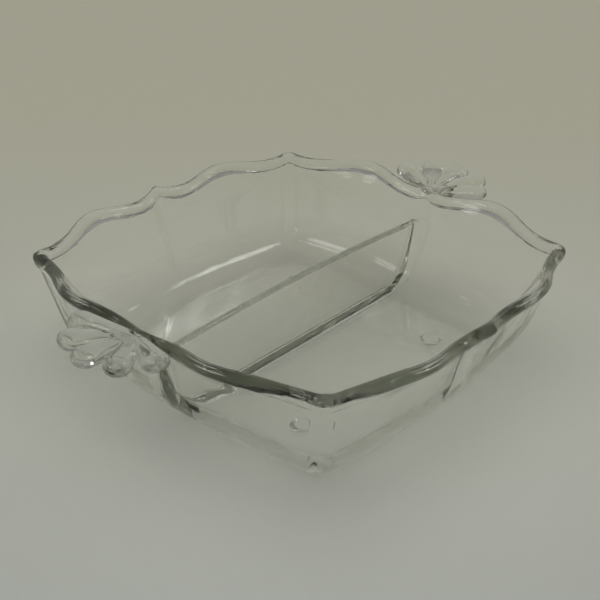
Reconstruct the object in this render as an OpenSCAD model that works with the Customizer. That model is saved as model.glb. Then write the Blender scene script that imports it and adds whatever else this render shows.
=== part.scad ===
// Two-part relish tray pressed in clear glass: a square dish with bulged sides, a scalloped
// rolled rim, a divider across it, a fan-shaped handle at each end, a pointed leaf under the
// middle of each side and four small feet.
// Origin: middle of the tray on the table. X runs along the divider, from handle to handle.

/* [Dish] */
// Length over the rim between the two handles
dish_l = 162; // [145:0.5:200]
// Width over the rim across the divider
dish_w = 162; // [145:0.5:200]
// Height of the rim at the corners, above the table
dish_h = 43.8; // [38:0.5:60]
// How far the rim's corners fall back from the middle of the sides
bulge = 11.6; // [4:0.1:18]
// How far the rim's outline falls back beside the point in the middle of each side
hollow = 1.6; // [0:0.1:3]
// How far it still falls back where the side is fullest
shoulder = 0.9; // [0:0.1:3]
// Thickness of the wall
wall_t = 3.4; // [2.5:0.1:4.5]
// Thickness of the floor
floor_t = 3.4; // [2.5:0.1:6]
// How far the wall leans out from the base to the rim
wall_lean = 10.5; // [4:0.1:14]
// How far the lip flares out between the corners, beyond the wall's lean
lip_flare = 4; // [0:0.1:6]
// Depth below the rim over which the lip flares
lip_depth = 13; // [10:0.5:20]
// Radius round the outer edge of the base
base_r = 12; // [6:0.5:15]
// Radius inside, between the floor and the wall
floor_r = 14; // [8:0.5:18]

/* [Rim] */
// Thickness of the rolled rim
rim_t = 4.6; // [3.6:0.1:6]
// Height of the roll, down to its underside
rim_roll_h = 5.2; // [4:0.1:9]
// How far the roll stands out from the wall below it
rim_step = 0.5; // [0.3:0.1:2]
// Height of the rim's point in the middle of the ends, from the corner's height
end_point_z = -0.6; // [-4:0.1:3]
// Height of the valley beside that point
end_valley_z = -1.4; // [-5:0.1:0]
// Height of the ends' scallop
end_crest_z = 1.7; // [0:0.1:4]
// Height of the dip beside the corner, on the ends
end_dip_z = -0.7; // [-4:0.1:0]
// Height of the rim's point in the middle of the sides, from the corner's height
side_point_z = 0.5; // [-4:0.1:3]
// Height of the valley beside that point
side_valley_z = -1.4; // [-5:0.1:0]
// Height of the sides' scallop
side_crest_z = 0.7; // [0:0.1:4]
// Height of the dip beside the corner, on the sides
side_dip_z = -1.1; // [-4:0.1:0]

/* [Divider] */
// Height of the divider's top in the middle, above the table
divider_h = 34; // [24:0.5:36]
// How far the top drops towards each end
divider_drop = 2.4; // [0:0.1:5]
// Thickness of the divider just under its rounded top
divider_t = 3; // [2:0.1:5]
// Thickness of the divider above the fillets at its foot
divider_foot_t = 5; // [3.5:0.1:8]
// Radius of the fillets at the divider's foot
divider_r = 2.6; // [1:0.1:4]

/* [Handles] */
// Reach of the middle lobe, from the rim to its tip
handle_reach = 24; // [16:0.5:32]
// Reach of the other lobes as a share of the middle one
lobe_reach_shares = [0.96, 1, 1, 1, 0.96];
// Angle between neighbouring lobes
lobe_step = 34; // [30:1:40]
// Width of a lobe near its tip
lobe_w = 9; // [7:0.1:12]
// Width of a lobe at its root
lobe_root_w = 5.2; // [3:0.1:7]
// Angle by which the lobes rise towards their tips
handle_rise = 7; // [0:1:15]

/* [Leaves] */
// Width of a leaf at its widest
leaf_w = 15.5; // [9:0.5:26]
// How far a leaf's keel stands out from the wall
leaf_keel = 3.6; // [2:0.1:6]
// Thickness of a leaf at its edges
leaf_edge = 0.4; // [0.3:0.1:1]

/* [Feet] */
// Diameter of a foot where it meets the floor
foot_d = 9; // [6:0.5:14]
// Diameter of a foot's flat face
foot_face_d = 6.5; // [4:0.5:10]
// Height of a foot
foot_h = 2; // [1:0.1:4]
// Distance between the feet along the divider
feet_l = 73; // [50:1:84]
// Distance between the feet across the divider
feet_w = 68; // [50:1:84]

/* [Hidden] */
glass = [0.80, 0.85, 0.82, 0.55];
$fn = 48;

// Space left where two regions of the glass meet on a curved face, and behind the leaves
seam = 0.1;
leaf_seam = 0.3;
// Shares of half a side, from its middle, where the rim turns: valley, crest of the scallop, dip
end_turn_shares = [0.07, 0.45, 0.85];
side_turn_shares = [0.18, 0.52, 0.81];
// Share of half a side, from its middle, that runs straight on to the rounded corner
corner_start_share = 0.93;
// Shares of half a side, from its middle, where its outline is hollow and where it is fullest
plan_turn_shares = [0.2, 0.4];
// Width of a leaf down its length, as shares of its full width
leaf_width_shares = [[0, 0.95], [0.2, 1], [0.5, 0.93], [0.75, 0.78], [0.9, 0.5], [1, 0.12]];
// Height of its keel down its length, as shares of the full height
leaf_keel_shares = [[0, 0.9], [0.25, 1], [0.5, 0.95], [0.7, 0.75], [0.85, 0.45], [1, 0.05]];
// Place and height of the top of a leaf's steep flank, as shares of half its width and of its keel
flank_shares = [0.7, 0.7];
// How far down the rounding of the base a leaf ends, as a share of its radius
leaf_tip_share = 0.55;

// Steps of the mesh: along a side, round a corner, and up each stretch of the wall
side_steps = 14;
corner_steps = 4;
base_steps = 4;
wall_steps = 5;
inner_steps = 6;
under_steps = 3;
roll_steps = 6;
floor_steps = 6;
divider_steps = 14;
lobe_steps = 7;
root_steps = 2;

half_l = dish_l / 2;
half_w = dish_w / 2;
corner_x = half_l - bulge;
corner_y = half_w - bulge;
floor_z = foot_h + floor_t;
lean = atan(wall_lean / (dish_h - foot_h));
wall_x = wall_t / cos(lean);
outer_z = foot_h + base_r * (1 - sin(lean));
inner_z = floor_z + floor_r * (1 - sin(lean));

// Wave of the rim. u is the share of half a side, from its middle to the corner.
function ease(a, b, t) = a + (b - a) * (1 - cos(180 * t)) / 2;
function wave(u, turns, point, valley, crest, dip) =
    u < turns[0] ? valley + (point - valley) * (1 - sin(90 * u / turns[0])) :
    u < turns[1] ? ease(valley, crest, (u - turns[0]) / (turns[1] - turns[0])) :
    u < turns[2] ? ease(crest, dip, (u - turns[1]) / (turns[2] - turns[1])) :
    dip * sin(90 * (1 - u) / (1 - turns[2]));
function end_wave(u) = wave(u, end_turn_shares, end_point_z, end_valley_z, end_crest_z, end_dip_z);
function side_wave(u) =
    wave(u, side_turn_shares, side_point_z, side_valley_z, side_crest_z, side_dip_z);

// Outline of the rim in plan, as [x, y, u, wave], for the quarter between +X and +Y
function fall(u) =
    let (a = plan_turn_shares[0], b = plan_turn_shares[1])
    u < a ? hollow * sin(90 * u / a) :
    u < b ? ease(hollow, shoulder, (u - a) / (b - a)) : ease(shoulder, bulge, (u - b) / (1 - b));
function end_point(u) = [half_l - fall(u), u * corner_y];
function side_point(u) = [u * corner_x, half_w - fall(u)];
function bend(a, b, c, t) = a * (1 - t) * (1 - t) + b * 2 * t * (1 - t) + c * t * t;
function corner_point(t) =
    bend(end_point(corner_start_share), [corner_x, corner_y], side_point(corner_start_share), t);
function corner_u(t) = 1 - (1 - corner_start_share) * abs(1 - 2 * t);
quarter = concat(
    [for (i = [0:side_steps]) let (u = corner_start_share * i / side_steps)
        concat(end_point(u), [u, end_wave(u)])],
    [for (i = [1:corner_steps - 1]) let (t = i / corner_steps, u = corner_u(t))
        concat(corner_point(t), [u, t < 0.5 ? end_wave(u) : side_wave(u)])],
    [for (i = [side_steps:-1:0]) let (u = corner_start_share * i / side_steps)
        concat(side_point(u), [u, side_wave(u)])]);
last = len(quarter) - 1;
outline = concat(
    [for (i = [0:last]) quarter[i]],
    [for (i = [last - 1:-1:0]) let (p = quarter[i]) [-p[0], p[1], p[2], p[3]]],
    [for (i = [1:last]) let (p = quarter[i]) [-p[0], -p[1], p[2], p[3]]],
    [for (i = [last - 1:-1:1]) let (p = quarter[i]) [p[0], -p[1], p[2], p[3]]]);

// How far the wall's outer face lies in from the rim's outline at height z. Below the lip the
// outline is a plain bulge, without the rim's points and hollows.
function wall_inset(z, u) =
    let (s = min(1, (dish_h - z) / lip_depth))
    rim_step + wall_lean * (dish_h - z) / (dish_h - foot_h)
        + (lip_flare * (1 - u * u) + bulge * u * u - fall(u)) * s * (2 - s);

// Share of a place on the rim's outline that is left at an inset. It makes up for the outline's
// hollow, so that no crease runs down the middle of the wall.
function scale_in(inset, u, half) =
    1 - inset / half * (1 + fall(u) / half * max(0, 1 - u / plan_turn_shares[1]));

// Section of the dish as [inset, z], from the base up the outside, over the rim and down inside
function outer_section(u, w) =
    let (roll_z = dish_h + w - rim_roll_h)
    concat(
        [for (i = [0:base_steps]) let (a = (90 - lean) * i / base_steps)
            [wall_inset(outer_z, u) + base_r * (cos(lean) - sin(a)), foot_h + base_r * (1 - cos(a))]],
        [for (i = [1:wall_steps]) let (z = outer_z + (roll_z - outer_z) * i / wall_steps)
            [wall_inset(z, u), z]]);
// The roll ends where its round runs parallel to the wall's inner face
function roll_turn(u, w) =
    let (z = dish_h + w - rim_t / 2, run = rim_t / 2)
    180 - atan((wall_inset(z, u) - wall_inset(z + run, u)) / run);
function roll_section(u, w) =
    let (top_z = dish_h + w,
         roll_z = top_z - rim_roll_h,
         face = wall_inset(top_z, u) - rim_step,
         under = wall_inset(roll_z, u),
         r = rim_t / 2)
    concat(
        [for (i = [1:under_steps]) let (a = 90 * i / under_steps)
            [under + (face - under) * sin(a), roll_z + (rim_roll_h - r) * (1 - cos(a))]],
        [for (i = [1:roll_steps]) let (a = roll_turn(u, w) * i / roll_steps)
            [face + r * (1 - cos(a)), top_z - r + r * sin(a)]]);
// Below the roll the inner face eases from it to the wall's full thickness
function inner_section(u, w) =
    let (r = rim_t / 2,
         turn = roll_turn(u, w),
         edge_z = dish_h + w - r + r * sin(turn),
         edge = wall_inset(dish_h + w, u) - rim_step + r * (1 - cos(turn)),
         gap = wall_inset(edge_z, u) + wall_x - edge)
    concat(
        [for (i = [1:inner_steps])
            let (z = edge_z + (inner_z - edge_z) * i / inner_steps,
                 t = min(1, (edge_z - z) / lip_depth))
            [wall_inset(z, u) + wall_x - gap * (1 - t) * (1 - t), z]],
        [for (i = [floor_steps - 1:-1:0]) let (a = (90 - lean) * i / floor_steps)
            [wall_inset(inner_z, u) + wall_x + floor_r * (cos(lean) - sin(a)),
             floor_z + floor_r * (1 - cos(a))]]);
function section(u, w) = concat(outer_section(u, w), roll_section(u, w), inner_section(u, w));

// Distance of the wall's inner face from the middle of the dish, in the middle of an end
function inner_reach(z) = lookup(z, [for (p = inner_section(0, end_point_z)) [p[1], half_l - p[0]]]);

// Distance of the wall's outer face from the middle of the dish, at the distance y from the
// middle of an end or a side. half is half of the dish's size towards that face, across is half
// of its size along it.
function face_wave(u, at_end) = at_end ? end_wave(u) : side_wave(u);
function face_inset(z, u, at_end) =
    lookup(z, [for (p = outer_section(u, face_wave(u, at_end))) [p[1], p[0]]]);
function face_u(z, y, across, at_end) =
    y / ((across - bulge) * scale_in(face_inset(z, 0, at_end), 0, across));
function face_reach(z, u, half, at_end) =
    (half - fall(u)) * scale_in(face_inset(z, u, at_end), u, half);

// A solid through a stack of rings, each a loop of as many points, closed at both ends
module skin(rings) {
    n = len(rings[0]);
    last_ring = (len(rings) - 1) * n;
    points = [for (ring = rings, p = ring) p];
    sides = [for (j = [0:len(rings) - 2], i = [0:n - 1])
        let (a = j * n + i, b = j * n + (i + 1) % n)
        each [[a, a + n, b + n], [a, b + n, b]]];
    caps = [for (i = [0:n / 2 - 2])
        let (a = [i, i + 1, n - 2 - i, n - 1 - i], b = [for (k = [3:-1:0]) a[k] + last_ring])
        each [[a[0], a[1], a[2]], [a[0], a[2], a[3]], [b[0], b[1], b[2]], [b[0], b[2], b[3]]]];
    polyhedron(points, concat(sides, caps), convexity = 6);
}

module dish() {
    sections = [for (p = outline) section(p[2], p[3])];
    rings = [for (j = [0:len(sections[0]) - 1])
        [for (i = [0:len(outline) - 1])
            let (p = outline[i], q = sections[i][j])
            [p[0] * scale_in(q[0], p[2], half_l), p[1] * scale_in(q[0], p[2], half_w), q[1]]]];
    color(glass) skin(rings);
}

// Divider's section as [half of its thickness, height], from the floor up
function divider_section() =
    let (r = divider_t / 2,
         foot = divider_foot_t / 2,
         low_z = floor_z + divider_r,
         high_z = divider_h - r)
    concat(
        [for (i = [0:base_steps]) let (a = 90 * i / base_steps)
            [foot + divider_r * (1 - sin(a)), low_z - divider_r * cos(a)]],
        [for (i = [1:floor_steps]) let (t = i / floor_steps)
            [foot + (r - foot) * t, low_z + (high_z - low_z) * t]],
        [for (i = [1:under_steps]) let (a = 80 * i / under_steps)
            [r * cos(a), high_z + r * sin(a)]]);

module divider() {
    rings = [for (q = divider_section())
        let (drop = divider_drop * (q[1] - floor_z) / (divider_h - floor_z),
             end_x = inner_reach(q[1] - drop) - seam)
        concat(
            [for (i = [0:divider_steps]) let (t = 2 * i / divider_steps - 1)
                [end_x * t, -q[0], q[1] - drop * t * t]],
            [for (i = [divider_steps:-1:0]) let (t = 2 * i / divider_steps - 1)
                [end_x * t, q[0], q[1] - drop * t * t]])];
    color(glass) skin(rings);
}

// One lobe: a drop turned about its own axis, small at the root and round at the tip
module lobe(angle, length) {
    root_r = lobe_root_w / 2;
    tip_r = lobe_w / 2;
    span = length - tip_r;
    swell = asin((tip_r - root_r) / span);
    drop = concat(
        [for (i = [0:root_steps]) let (a = (90 - swell) * i / root_steps)
            [root_r * sin(a), -root_r * cos(a)]],
        [for (i = [0:lobe_steps - 1]) let (a = (90 + swell) * i / lobe_steps - swell)
            [tip_r * cos(a), span + tip_r * sin(a)]],
        [[0, length]]);
    rotate([0, 90 - handle_rise, angle]) rotate_extrude($fn = 24) polygon(drop);
}

// Fan of lobes, cut flat where it meets the face of the rim
module handle() {
    face_x = half_l - wall_inset(dish_h + end_point_z, 0) + rim_step + seam;
    root_z = dish_h + end_point_z - rim_t / 2;
    middle = (len(lobe_reach_shares) - 1) / 2;
    color(glass) intersection() {
        translate([face_x, 0, root_z])
            for (i = [0:len(lobe_reach_shares) - 1])
                lobe((i - middle) * lobe_step, handle_reach * lobe_reach_shares[i]);
        translate([face_x, -dish_w / 2, 0]) cube([dish_l, dish_w, dish_h * 2]);
    }
}
module handle_left() mirror([1, 0, 0]) handle();
module handle_right() handle();

// Leaf under the middle of an end or a side that lies at half along +X. Its rings follow the
// rings of the wall's own mesh, so that its back follows the wall and its top follows the roll.
module leaf(half, across, at_end) {
    point_z = at_end ? end_point_z : side_point_z;
    top_z = dish_h + point_z - rim_roll_h - leaf_seam;
    low_z = outer_z - base_r * leaf_tip_share;
    levels = [for (p = outer_section(0, point_z)) if (p[1] > low_z && p[1] < top_z) p[1]];
    spread = [1, flank_shares[0], 0, -flank_shares[0], -1];
    rings = [for (z = concat([low_z], levels, [top_z]))
        let (t = (top_z - z) / (top_z - low_z),
             w = leaf_w / 2 * lookup(t, leaf_width_shares),
             keel = leaf_keel * lookup(t, leaf_keel_shares),
             back = [for (k = spread)
                 let (u = face_u(z, abs(k) * w, across, at_end),
                      sag = (face_wave(u, at_end) - point_z) * max(0, z - outer_z)
                          / (top_z - outer_z),
                      wall_z = z + sag)
                 [face_reach(wall_z, u, half, at_end) + leaf_seam, k * w, wall_z]],
             rise = [0, keel * flank_shares[1], keel, keel * flank_shares[1], 0])
        concat(back, [for (i = [4:-1:0]) back[i] + [leaf_edge + rise[i], 0, 0]])];
    color(glass) skin(rings);
}
module leaf_left() rotate(180) leaf(half_l, half_w, true);
module leaf_right() leaf(half_l, half_w, true);
module leaf_front() rotate(-90) leaf(half_w, half_l, false);
module leaf_back() rotate(90) leaf(half_w, half_l, false);

module foot(x, y) {
    color(glass) translate([x, y, 0]) cylinder(d1 = foot_face_d, d2 = foot_d, h = foot_h);
}
module foot_front_left() foot(-feet_l / 2, -feet_w / 2);
module foot_front_right() foot(feet_l / 2, -feet_w / 2);
module foot_back_left() foot(-feet_l / 2, feet_w / 2);
module foot_back_right() foot(feet_l / 2, feet_w / 2);

dish();
divider();
handle_left();
handle_right();
leaf_left();
leaf_right();
leaf_front();
leaf_back();
foot_front_left();
foot_front_right();
foot_back_left();
foot_back_right();
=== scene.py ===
import math
import bmesh
import bpy
from mathutils import Matrix, Vector


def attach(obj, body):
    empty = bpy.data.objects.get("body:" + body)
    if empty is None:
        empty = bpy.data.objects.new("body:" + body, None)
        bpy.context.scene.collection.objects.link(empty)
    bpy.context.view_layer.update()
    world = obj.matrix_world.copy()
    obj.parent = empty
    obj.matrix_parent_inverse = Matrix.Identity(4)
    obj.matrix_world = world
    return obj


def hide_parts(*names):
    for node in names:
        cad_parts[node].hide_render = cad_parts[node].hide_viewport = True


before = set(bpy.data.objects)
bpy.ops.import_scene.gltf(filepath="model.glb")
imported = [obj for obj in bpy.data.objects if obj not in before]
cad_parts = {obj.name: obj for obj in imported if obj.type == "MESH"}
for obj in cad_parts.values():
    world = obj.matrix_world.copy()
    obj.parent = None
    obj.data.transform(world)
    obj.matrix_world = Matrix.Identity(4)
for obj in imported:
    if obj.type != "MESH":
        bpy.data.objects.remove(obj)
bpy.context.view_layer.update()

mm = 0.001


# The dish: a square dish of clear glass, pressed in one stroke. The mould shaped the outside, and
# the plunger the inside. The walls bulge, and their rim was left thick, rolled and scalloped, with
# fine lines along it. Sizes are in millimetres.

half_side, dish_height = 80.98, 43.78
corner_fall, corner_start = 11.6, 0.93
hollow, hollow_end = 1.6, 0.2
shoulder, shoulder_end = 0.9, 0.4
foot_height, floor_top, flat_margin = 2.0, 5.4, 2.0
wall_lean, wall_thickness = 10.5, 3.4
lip_flare, lip_depth = 4.0, 13.0
base_radius, floor_radius = 16.0, 17.0
rim_thickness, rim_roll, rim_step, rim_wear = 4.6, 5.2, 0.5, 0.08
wear_lines = ((0.6, 13, 9), (0.4, 21, -14))
end_turns, end_heights = (0.07, 0.45, 0.85), (-0.6, -1.4, 1.7, -0.7)
side_turns, side_heights = (0.18, 0.52, 0.81), (0.5, -1.4, 0.7, -1.1)
side_steps, corner_steps = 30, 8
base_steps, wall_steps, under_steps, roll_steps, inner_steps, floor_steps = 8, 10, 4, 36, 14, 10
weld_distance = 0.001

corner_reach = half_side - corner_fall
lean = math.atan(wall_lean / (dish_height - foot_height))
wall_across = wall_thickness / math.cos(lean)
outer_bend_z = foot_height + base_radius * (1 - math.sin(lean))
inner_bend_z = floor_top + floor_radius * (1 - math.sin(lean))


def ease(a, b, t):
    """From a to b as t goes from 0 to 1, level at both ends"""
    return a + (b - a) * (1 - math.cos(math.pi * t)) / 2


def scallop(u, turns, heights):
    """Height of the rim above the corners, u of the way from the middle of a side to its corner"""
    point, valley, crest, dip = heights
    if u < turns[0]:
        return valley + (point - valley) * (1 - math.sin(math.pi / 2 * u / turns[0]))
    if u < turns[1]:
        return ease(valley, crest, (u - turns[0]) / (turns[1] - turns[0]))
    if u < turns[2]:
        return ease(crest, dip, (u - turns[1]) / (turns[2] - turns[1]))
    return dip * math.sin(math.pi / 2 * (1 - u) / (1 - turns[2]))


def fall_back(u):
    """How far the rim's outline lies back from the square, from the middle of a side"""
    if u < hollow_end:
        return hollow * math.sin(math.pi / 2 * u / hollow_end)
    if u < shoulder_end:
        return ease(hollow, shoulder, (u - hollow_end) / (shoulder_end - hollow_end))
    return ease(shoulder, corner_fall, (u - shoulder_end) / (1 - shoulder_end))


def quarter_outline():
    """Points (x, y, u, scallop) from the middle of the +X end to the middle of the +Y side"""
    points = []
    for i in range(side_steps + 1):
        u = corner_start * i / side_steps
        height = scallop(u, end_turns, end_heights)
        points.append((half_side - fall_back(u), u * corner_reach, u, height))
    start = Vector(points[-1][:2])
    for i in range(1, corner_steps):
        t = i / corner_steps
        u = 1 - (1 - corner_start) * abs(1 - 2 * t)
        bend = (start * (1 - t) ** 2 + Vector((corner_reach, corner_reach)) * 2 * t * (1 - t)
                + Vector((start.y, start.x)) * t * t)
        turns, heights = (end_turns, end_heights) if t < 0.5 else (side_turns, side_heights)
        points.append((bend.x, bend.y, u, scallop(u, turns, heights)))
    for i in range(side_steps, -1, -1):
        u = corner_start * i / side_steps
        height = scallop(u, side_turns, side_heights)
        points.append((u * corner_reach, half_side - fall_back(u), u, height))
    return points


def wall_inset(z, u):
    """How far the outer face of the wall lies in from the rim's outline at a height"""
    s = min(1, (dish_height - z) / lip_depth)
    return (rim_step + wall_lean * (dish_height - z) / (dish_height - foot_height)
            + (lip_flare * (1 - u * u) + corner_fall * u * u - fall_back(u)) * s * (2 - s))


def wall_section(u, wave):
    """Section of the dish as (inset, height), up the outside, over the rim and down the inside"""
    top = dish_height + wave
    roll = top - rim_roll
    face = wall_inset(top, u) - rim_step
    under = wall_inset(roll, u)
    r = rim_thickness / 2
    sweep = math.pi / 2 - lean
    base = [(wall_inset(outer_bend_z, u) + base_radius * (math.cos(lean) - math.sin(a)),
             foot_height + base_radius * (1 - math.cos(a)))
            for a in (sweep * i / base_steps for i in range(base_steps + 1))]
    section = [(base[0][0] + flat_margin, foot_height)] + base
    for i in range(1, wall_steps + 1):
        z = outer_bend_z + (roll - outer_bend_z) * i / wall_steps
        section.append((wall_inset(z, u), z))
    for i in range(1, under_steps + 1):
        a = math.pi / 2 * i / under_steps
        section.append((under + (face - under) * math.sin(a),
                        roll + (rim_roll - r) * (1 - math.cos(a))))
    slope = math.atan((wall_inset(top - r, u) - wall_inset(top, u)) / r)
    for i in range(1, roll_steps + 1):
        a = (math.pi - slope) * i / roll_steps
        fade = math.sin(math.pi * i / roll_steps)
        lines = sum((share * math.sin(across * a + along * u)
                     for share, across, along in wear_lines), start=1)
        worn = r - rim_wear * fade * lines
        section.append((face + r - worn * math.cos(a), top - r + worn * math.sin(a)))
    edge, edge_z = section[-1]
    step_in = wall_inset(edge_z, u) + wall_across - edge
    for i in range(1, inner_steps + 1):
        z = edge_z + (inner_bend_z - edge_z) * i / inner_steps
        t = min(1, (edge_z - z) / lip_depth)
        section.append((wall_inset(z, u) + wall_across - step_in * (1 - t) ** 2, z))
    foot_in = wall_inset(inner_bend_z, u) + wall_across
    fillet = [(foot_in + floor_radius * (math.cos(lean) - math.sin(a)),
               floor_top + floor_radius * (1 - math.cos(a)))
              for a in (sweep * i / floor_steps for i in range(floor_steps - 1, -1, -1))]
    return section + fillet + [(fillet[-1][0] + flat_margin, floor_top)]


def shrink(inset, u):
    """Share of a rim point's place left at an inset, with no crease below the rim's points"""
    return 1 - inset / half_side * (1 + fall_back(u) / half_side * max(0, 1 - u / shoulder_end))


def lofted(count, levels, put):
    """Closed skin through rings of count points, where put says where a point lies at a level"""
    mesh = bmesh.new()
    place = mesh.verts.layers.int.new("place")
    bmesh.ops.create_circle(mesh, cap_ends=False, segments=count, radius=1)
    for number, vert in enumerate(mesh.verts):
        vert[place] = number
        vert.co = put(number, levels[0])
    edges = mesh.edges[:]
    bmesh.ops.edgeloop_fill(mesh, edges=edges)
    for level in levels[1:]:
        grown = bmesh.ops.extrude_edge_only(mesh, edges=edges)["geom"]
        ring = {part for part in grown if isinstance(part, bmesh.types.BMVert)}
        edges = [part for part in grown
                 if isinstance(part, bmesh.types.BMEdge) and ring.issuperset(part.verts)]
        for vert in ring:
            vert.co = put(vert[place], level)
    bmesh.ops.edgeloop_fill(mesh, edges=edges)
    return mesh


def finished(mesh, name):
    """Closes a shape built in millimetres and makes it an object in metres"""
    bmesh.ops.remove_doubles(mesh, verts=mesh.verts, dist=weld_distance)
    bmesh.ops.recalc_face_normals(mesh, faces=mesh.faces)
    bmesh.ops.scale(mesh, vec=(mm, mm, mm), verts=mesh.verts)
    for face in mesh.faces:
        face.smooth = True
    data = bpy.data.meshes.new(name)
    mesh.to_mesh(data)
    mesh.free()
    shape = bpy.data.objects.new(name, data)
    bpy.context.scene.collection.objects.link(shape)
    return shape


first_quarter = quarter_outline()
half_round = first_quarter[:-1] + [(-x, y, u, wave) for x, y, u, wave in first_quarter[:0:-1]]
rim_outline = half_round + [(-x, -y, u, wave) for x, y, u, wave in half_round]
rim_sections = [wall_section(u, wave) for x, y, u, wave in rim_outline]


def dish_point(number, level):
    """Point of the dish under a point of the rim, at a level of the wall's section"""
    x, y, u = rim_outline[number][:3]
    inset, z = rim_sections[number][level]
    return (x * shrink(inset, u), y * shrink(inset, u), z)


tray = finished(lofted(len(rim_outline), range(len(rim_sections[0])), dish_point), "pressed_tray")


# The divider: a low wall of the same pressing that stands across the floor from end to end. It
# thins towards a rounded top and runs into the floor and the walls with fillets, so that the
# plunger lets go of it.

divider_height, divider_drop = 34.0, 2.4
divider_top, divider_foot, divider_fillet = 3.0, 5.0, 2.6
end_fillet, flare_fade, hairline = 2.4, 1.2, 0.01
foot_sink, edge_sink, end_sink = 0.6, 0.08, 1.2
section_steps, length_steps, end_steps = 8, 16, 5
wall_face = sorted((z, half_side - inset)
                   for inset, z in rim_sections[0][-inner_steps - floor_steps:])


def inside_reach(z):
    """Distance of the inner face of the end wall from the middle of the dish"""
    for (low, near), (high, far) in zip(wall_face, wall_face[1:]):
        if low <= z <= high and high > low:
            return near + (far - near) * (z - low) / (high - low)
    return wall_face[0][1] if z < wall_face[0][0] else wall_face[-1][1]


divider_section = [(divider_foot / 2 + divider_fillet, floor_top - foot_sink)]
for i in range(section_steps + 1):
    a = math.pi / 2 * i / section_steps
    divider_section.append((divider_foot / 2 + divider_fillet * (1 - math.sin(a)),
                            floor_top - edge_sink + divider_fillet * (1 - math.cos(a))))
fillet_top = floor_top + divider_fillet
for i in range(1, section_steps + 1):
    t = i / section_steps
    divider_section.append(((divider_foot + (divider_top - divider_foot) * t) / 2,
                            fillet_top + (divider_height - divider_top / 2 - fillet_top) * t))
for i in range(1, section_steps + 1):
    a = math.pi / 2 * i / section_steps
    divider_section.append((divider_top / 2 * math.cos(a),
                            divider_height - divider_top / 2 * (1 - math.sin(a))))
divider_outline = divider_section + [(-w, z) for w, z in divider_section[-2::-1]]
stations = [(-1, end_sink)] + [(-1, -end_fillet * i / end_steps) for i in range(end_steps + 1)]
stations += [(-1 + 2 * i / length_steps, 0) for i in range(1, length_steps)]
stations += [(1, -end_fillet * i / end_steps) for i in range(end_steps, -1, -1)] + [(1, end_sink)]


def divider_point(number, station):
    """Point of the divider at a station, spread outwards where it runs into the wall"""
    share, beyond = station
    depth = min(1, max(0, 1 + beyond / end_fillet)) if abs(share) == 1 else 0
    flare = end_fillet * (1 - math.sqrt(1 - depth * depth))
    width, z = divider_outline[number]
    drop = divider_drop * max(0, z - floor_top) / (divider_height - floor_top)
    reach = inside_reach(z - drop)
    x = share * reach + (beyond if share > 0 else -beyond) * (abs(share) == 1)
    along = min(1, abs(x) / reach)
    spread = math.copysign(flare, width) * (abs(width) > hairline) * min(1, abs(width) / flare_fade)
    return (x, width + spread, z - drop * along * along)


pressed_on = [finished(lofted(len(divider_outline), stations, divider_point), "divider_shape")]


# The handles: a fan of five fingers at each end, pressed with the dish. Each finger is a
# flattened drop, narrow at the rim and round at its tip. The fan rises a little, so that a thumb
# fits under it.

finger_reach, finger_shares = 23.98, (0.96, 1, 1, 1, 0.96)
finger_width, finger_root, finger_sink = 9.0, 5.2, 0.6
finger_spread, finger_rise, finger_flatness = 34.0, 7.0, 0.74
root_steps, tip_steps, finger_segments = 6, 14, 40
rim_point = dish_height + end_heights[0]
fan_x = half_side - wall_inset(rim_point, 0) + rim_step
fan_z = rim_point - rim_thickness / 2

for end in (1, -1):
    for number, share in enumerate(finger_shares):
        length = finger_reach * share
        tip, root = finger_width / 2, finger_root / 2
        span = length - tip
        swell = math.asin((tip - root) / span)
        drop = [(0, -root)]
        drop += [(root * math.sin(a), -root * math.cos(a))
                 for a in ((math.pi / 2 - swell) * i / root_steps
                           for i in range(1, root_steps + 1))]
        drop += [(tip * math.cos(a), span + tip * math.sin(a))
                 for a in ((math.pi / 2 + swell) * i / tip_steps - swell
                           for i in range(tip_steps))]
        drop += [(0, length)]
        finger = bmesh.new()
        profile = [finger.verts.new((r, 0, z)) for r, z in drop]
        edges = [finger.edges.new(pair) for pair in zip(profile, profile[1:])]
        bmesh.ops.spin(finger, geom=profile + edges, cent=(0, 0, 0), axis=(0, 0, 1),
                       dvec=(0, 0, 0), angle=2 * math.pi, steps=finger_segments,
                       space=Matrix.Identity(4), use_merge=True)
        bmesh.ops.scale(finger, vec=(finger_flatness, 1, 1), verts=finger.verts)
        turn = math.radians((number - len(finger_shares) // 2) * finger_spread)
        bmesh.ops.transform(
            finger, verts=finger.verts,
            matrix=Matrix.Scale(end, 4, (1, 0, 0))
            @ Matrix.Translation((fan_x - finger_sink, 0, fan_z))
            @ Matrix.Rotation(turn, 4, "Z")
            @ Matrix.Rotation(math.radians(90 - finger_rise), 4, "Y"))
        pressed_on.append(finished(finger, "finger_shape"))


# The leaves: a pointed leaf in relief under the middle of each side, with a keel down its middle.
# It was pressed with the wall. It hides the marks that the parts of the mould leave there, and it
# stiffens the wall under the handles.

leaf_width, leaf_keel, leaf_edge, leaf_sink, leaf_tuck = 17.5, 1.45, -0.12, 1.2, 1.5
leaf_widths = ((0, 0.95), (0.2, 1), (0.5, 0.93), (0.75, 0.78), (0.9, 0.5), (1, 0.12))
leaf_keels = ((0, 0.9), (0.25, 1), (0.5, 0.95), (0.7, 0.75), (0.85, 0.45), (1, 0.05))
leaf_tip_share = 0.55
leaf_rows, leaf_columns = 30, 12
leaf_bottom = outer_bend_z - base_radius * leaf_tip_share


def between(table, t):
    """Value from a table of (share, value) pairs, in a straight line from one to the next"""
    for (a, low), (b, high) in zip(table, table[1:]):
        if t <= b:
            return low + (high - low) * (t - a) / (b - a)
    return table[-1][1]


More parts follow.
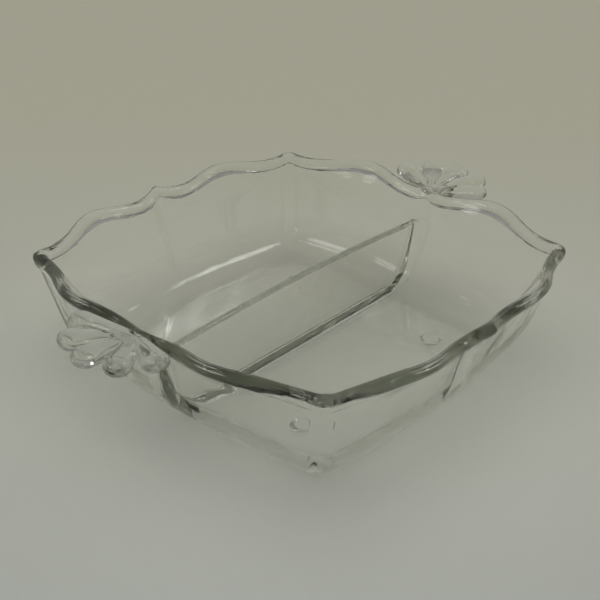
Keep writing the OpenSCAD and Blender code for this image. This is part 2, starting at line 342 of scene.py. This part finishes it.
def outer_reach(z, across):
    """Distance of the outer face of a wall from the middle of the dish, across its middle"""
    inset = wall_inset(z, 0)
    if z < outer_bend_z:
        rise = foot_height + base_radius - z
        inset = (wall_inset(outer_bend_z, 0) + base_radius * math.cos(lean)
                 - math.sqrt(max(0, base_radius ** 2 - rise ** 2)))
    u = min(1, abs(across) / (corner_reach * (1 - inset / half_side)))
    shift = wall_inset(max(z, outer_bend_z), u) - wall_inset(max(z, outer_bend_z), 0)
    return (half_side - fall_back(u)) * shrink(inset + shift, u)


for quarter_turn in range(4):
    point = (end_heights, side_heights)[quarter_turn % 2][0]
    leaf_top = dish_height + point - rim_roll + leaf_tuck
    leaf = bmesh.new()
    grid = bmesh.ops.create_grid(leaf, x_segments=leaf_columns, y_segments=leaf_rows, size=1)
    for vert in grid["verts"]:
        t = (1 - vert.co.y) / 2
        z = leaf_top + (leaf_bottom - leaf_top) * t
        k = vert.co.x
        wide = leaf_width / 2 * between(leaf_widths, t)
        keel = leaf_keel * between(leaf_keels, t)
        rise = keel * math.cos(math.pi / 2 * k) ** 2
        vert.co = (outer_reach(z, k * wide) + leaf_edge + rise, k * wide, z)
    front = leaf.faces[:]
    grown = bmesh.ops.extrude_face_region(leaf, geom=front, use_keep_orig=True)["geom"]
    for vert in (part for part in grown if isinstance(part, bmesh.types.BMVert)):
        vert.co.x = outer_reach(vert.co.z, vert.co.y) - leaf_sink
    bmesh.ops.rotate(leaf, verts=leaf.verts, cent=(0, 0, 0),
                     matrix=Matrix.Rotation(math.pi / 2 * quarter_turn, 3, "Z"))
    pressed_on.append(finished(leaf, "leaf_shape"))


# The feet: four small round pads of the same pressing under the floor. They were ground flat
# afterwards, so that the tray stands level. A hair of air under them keeps glass and table apart.

foot_face, foot_across, foot_edge = 6.5, 9.0, 0.5
foot_x, foot_y = 36.5, 34.0
foot_bury, foot_gap, foot_segments, foot_edge_steps = 0.8, 0.05, 40, 4

for x in (-foot_x, foot_x):
    for y in (-foot_y, foot_y):
        foot = bmesh.new()
        bmesh.ops.create_cone(foot, cap_ends=True, segments=foot_segments,
                              radius1=foot_face / 2, radius2=foot_across / 2, depth=foot_height)
        bmesh.ops.translate(foot, vec=(x, y, foot_height / 2), verts=foot.verts)
        top = [vert for vert in foot.verts if vert.co.z > foot_height / 2]
        bmesh.ops.translate(foot, vec=(0, 0, foot_bury), verts=top)
        under = [edge for edge in foot.edges
                 if all(vert.co.z < foot_height / 2 for vert in edge.verts)]
        bmesh.ops.bevel(foot, geom=under, affect="EDGES", offset=foot_edge,
                        segments=foot_edge_steps, profile=0.5, material=-1)
        bottom = [vert for vert in foot.verts if vert.co.z < foot_height / 2]
        bmesh.ops.translate(foot, vec=(0, 0, foot_gap), verts=bottom)
        pressed_on.append(finished(foot, "foot_shape"))


# The glass: everything above left the mould as one piece of clear glass with a faint grey-green
# tint, and a flame smoothed it. The regions are joined into one skin here, with no faces left
# inside the glass.

sharp_edge = math.radians(34)
pale_tint, clear_tint = (0.985, 0.988, 0.975), (1, 1, 0.995)
smooth_polish, dull_polish = 0.01, 0.06
grooves_from, grooves_to = 0.0365, 0.0395

regions = bpy.data.collections.new("regions")
bpy.context.scene.collection.children.link(regions)
for shape in pressed_on:
    bpy.context.scene.collection.objects.unlink(shape)
    regions.objects.link(shape)
joined = tray.modifiers.new("joined", "BOOLEAN")
joined.operation = "UNION"
joined.solver = "EXACT"
joined.operand_type = "COLLECTION"
joined.collection = regions
bpy.context.view_layer.update()
skin = bpy.data.meshes.new_from_object(tray.evaluated_get(bpy.context.evaluated_depsgraph_get()))
tray.modifiers.clear()
tray.data = skin
for shape in pressed_on:
    bpy.data.objects.remove(shape)
bpy.data.collections.remove(regions)
skin.name = "pressed_tray"
for polygon in skin.polygons:
    polygon.use_smooth = True
skin.set_sharp_from_angle(angle=sharp_edge)
weighted = tray.modifiers.new("weighted", "WEIGHTED_NORMAL")
weighted.keep_sharp = True


def noise(tree, vector, scale, detail):
    """Noise at the places that a vector gives"""
    texture = tree.nodes.new("ShaderNodeTexNoise")
    texture.inputs["Scale"].default_value = scale
    texture.inputs["Detail"].default_value = detail
    tree.links.new(vector, texture.inputs["Vector"])
    return texture.outputs["Fac"]


def ranged(tree, value, start, end, low=0, high=1):
    """Low to high as a value goes from start to end, and level beyond them"""
    limits = tree.nodes.new("ShaderNodeMapRange")
    limits.inputs["From Min"].default_value = start
    limits.inputs["From Max"].default_value = end
    limits.inputs["To Min"].default_value = low
    limits.inputs["To Max"].default_value = high
    tree.links.new(value, limits.inputs["Value"])
    return limits.outputs["Result"]


def blended(tree, factor, a, b):
    """Colour between a and b, each of them a colour or the output of a node"""
    mix = tree.nodes.new("ShaderNodeMix")
    mix.data_type = "RGBA"
    tree.links.new(factor, mix.inputs["Factor"])
    for side, colour in (("A", a), ("B", b)):
        if isinstance(colour, tuple):
            mix.inputs[side].default_value = (*colour, 1)
        else:
            tree.links.new(colour, mix.inputs[side])
    return mix.outputs["Result"]


def worked_out(tree, operation, a, b):
    """Product, maximum or comparison of a node's output with another one or with a number"""
    step = tree.nodes.new("ShaderNodeMath")
    step.operation = operation
    tree.links.new(a, step.inputs[0])
    if isinstance(b, float):
        step.inputs[1].default_value = b
    else:
        tree.links.new(b, step.inputs[1])
    return step.outputs["Value"]


def bumped(tree, height, strength, distance):
    """Bump from a height"""
    bump = tree.nodes.new("ShaderNodeBump")
    bump.inputs["Strength"].default_value = strength
    bump.inputs["Distance"].default_value = distance
    tree.links.new(height, bump.inputs["Height"])
    return bump


glass = bpy.data.materials.new("tinted_glass")
glass.use_nodes = True
tree = glass.node_tree
tree.nodes.clear()
out = tree.nodes.new("ShaderNodeOutputMaterial")
body = tree.nodes.new("ShaderNodeBsdfPrincipled")
body.inputs["Transmission Weight"].default_value = 1
body.inputs["IOR"].default_value = 1.5
tree.links.new(body.outputs["BSDF"], out.inputs["Surface"])
where = tree.nodes.new("ShaderNodeTexCoord")
spot = where.outputs["Object"]

cloud = noise(tree, spot, scale=26, detail=3)
tint = blended(tree, cloud, pale_tint, clear_tint)
tree.links.new(tint, body.inputs["Base Color"])
smear = noise(tree, spot, scale=90, detail=5)
polish = ranged(tree, smear, start=0.45, end=0.8, low=smooth_polish, high=dull_polish)
tree.links.new(polish, body.inputs["Roughness"])

flow = tree.nodes.new("ShaderNodeMapping")
flow.inputs["Scale"].default_value = (45, 45, 700)
tree.links.new(spot, flow.inputs["Vector"])
height = tree.nodes.new("ShaderNodeSeparateXYZ")
tree.links.new(spot, height.inputs["Vector"])
near_rim = ranged(tree, height.outputs["Z"], grooves_from, grooves_to)
drawn = noise(tree, flow.outputs["Vector"], scale=1, detail=2)
drawn_near_rim = worked_out(tree, "MULTIPLY", drawn, near_rim)
ripple = noise(tree, spot, scale=70, detail=1.5)
waves = bumped(tree, ripple, strength=0.3, distance=0.0006)
grooves = bumped(tree, drawn_near_rim, strength=0.6, distance=0.0004)
tree.links.new(waves.outputs["Normal"], grooves.inputs["Normal"])
tree.links.new(grooves.outputs["Normal"], body.inputs["Normal"])

depth = tree.nodes.new("ShaderNodeVolumeAbsorption")
depth.inputs["Color"].default_value = (0.80, 0.815, 0.77, 1)
depth.inputs["Density"].default_value = 30
tree.links.new(depth.outputs["Volume"], out.inputs["Volume"])

skin.materials.clear()
skin.materials.append(glass)
for polygon in skin.polygons:
    polygon.material_index = 0
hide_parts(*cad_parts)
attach(tray, "root")


# The table: a plain pale sheet of paper, laid flat under the tray. Its colour is painted a little
# warmer and darker far away than close by. This is painted light: warm light from behind, cool
# light in front.

table_radius, table_segments = 6, 96
# painted light: the paper's colour turns warmer and darker away from the camera, standing in for
# warm light from behind
near_painted_light, far_painted_light = (0.365, 0.378, 0.348), (0.37, 0.362, 0.286)
near_edge, far_edge, painted_light_turn = -0.15, 0.25, math.radians(49.4)

table = bmesh.new()
bmesh.ops.create_circle(table, cap_ends=True, segments=table_segments, radius=table_radius)
table_data = bpy.data.meshes.new("table")
table.to_mesh(table_data)
table.free()
floor = bpy.data.objects.new("table", table_data)
bpy.context.scene.collection.objects.link(floor)
paper = bpy.data.materials.new("plain_paper")
paper.use_nodes = True
tree = paper.node_tree
sheet = tree.nodes["Principled BSDF"]
sheet.inputs["Roughness"].default_value = 0.75
sheet.inputs["Specular IOR Level"].default_value = 0.2
where = tree.nodes.new("ShaderNodeTexCoord")
turn = tree.nodes.new("ShaderNodeMapping")
turn.inputs["Rotation"].default_value = (0, 0, painted_light_turn)
tree.links.new(where.outputs["Object"], turn.inputs["Vector"])
split = tree.nodes.new("ShaderNodeSeparateXYZ")
tree.links.new(turn.outputs["Vector"], split.inputs["Vector"])
# painted light: this blend paints the paper cooler close by and warmer and darker far away
tone = blended(tree, ranged(tree, split.outputs["Y"], near_edge, far_edge), near_painted_light, far_painted_light)
tree.links.new(tone, sheet.inputs["Base Color"])
table_data.materials.append(paper)


# The light: a pale room lights the table evenly from above. What the glass shows of that room is
# a plain backdrop with four small windows, which put the highlights on the tray. Light that
# reaches the table through the glass is gathered from the whole room.

high_room = (0.55, 0.8, (0.2, 0.2, 0.19), (1.58, 1.58, 1.56))
whole_room = (0.0, 0.8, (1.4, 1.4, 1.37), (2.3, 2.3, 2.25))
shown_room = (0.5, 0.85, (0.32, 0.32, 0.285), (0.235, 0.235, 0.215))
windows = (((0.555, -0.33, 0.765), 0.9965, 0.999, (4.5, 4.5, 4.365)),
           ((-0.55, 0.46, 0.7), 0.995, 0.9985, (4.0, 4.0, 3.88)),
           ((-0.1, -0.62, 0.78), 0.994, 0.997, (2.5, 2.5, 2.425)),
           ((-0.75, 0.2, 0.63), 0.994, 0.997, (2.5, 2.5, 2.425)))
light_bounces, table_bounce = 24, 0.5

room = bpy.data.worlds.new("room")
bpy.context.scene.world = room
room.use_nodes = True
tree = room.node_tree
where = tree.nodes.new("ShaderNodeTexCoord")
outwards = where.outputs["Generated"]
split = tree.nodes.new("ShaderNodeSeparateXYZ")
tree.links.new(outwards, split.inputs["Vector"])
ceiling, gathered, backdrop = (
    blended(tree, ranged(tree, split.outputs["Z"], low, high), low_colour, high_colour)
    for low, high, low_colour, high_colour in (high_room, whole_room, shown_room))

for direction, soft_edge, clear_edge, brightness in windows:
    beside = tree.nodes.new("ShaderNodeVectorMath")
    beside.operation = "DOT_PRODUCT"
    beside.inputs[1].default_value = Vector(direction).normalized()
    tree.links.new(outwards, beside.inputs[0])
    pane = ranged(tree, beside.outputs["Value"], soft_edge, clear_edge)
    backdrop = blended(tree, pane, backdrop, brightness)

ray = tree.nodes.new("ShaderNodeLightPath")
through = ray.outputs["Is Transmission Ray"]
looked = worked_out(tree, "MAXIMUM", ray.outputs["Is Camera Ray"], ray.outputs["Is Glossy Ray"])
looked = worked_out(tree, "MAXIMUM", looked, through)
from_table = worked_out(tree, "GREATER_THAN", ray.outputs["Diffuse Depth"], table_bounce)
seen = blended(tree, looked, ceiling, backdrop)
lighting = blended(tree, through, ceiling, gathered)
colour = blended(tree, from_table, seen, lighting)
tree.links.new(colour, tree.nodes["Background"].inputs["Color"])

bpy.context.scene.cycles.max_bounces = light_bounces
bpy.context.scene.cycles.transmission_bounces = light_bounces
bpy.context.scene.cycles.glossy_bounces = light_bounces


# The camera: it stands where the photograph was taken from, in front of one corner of the tray
# and about thirty degrees up.

azimuth, elevation, roll = math.radians(-49.402), math.radians(29.237), math.radians(1.302)
aim, distance = Vector((0.029527, 0.026525, 0)), 0.434832

camera = bpy.data.objects.new("camera", bpy.data.cameras.new("camera"))
camera.data.lens = 63.065
camera.data.sensor_width = 36
camera.data.clip_start = 0.01
turned = (Matrix.Rotation(azimuth, 4, "Z") @ Matrix.Rotation(math.pi / 2 - elevation, 4, "X")
          @ Matrix.Rotation(roll, 4, "Z"))
camera.matrix_world = Matrix.Translation(aim + turned.col[2].to_3d() * distance) @ turned
bpy.context.scene.collection.objects.link(camera)
bpy.context.scene.camera = camera
bpy.context.scene.view_settings.view_transform = "Standard"
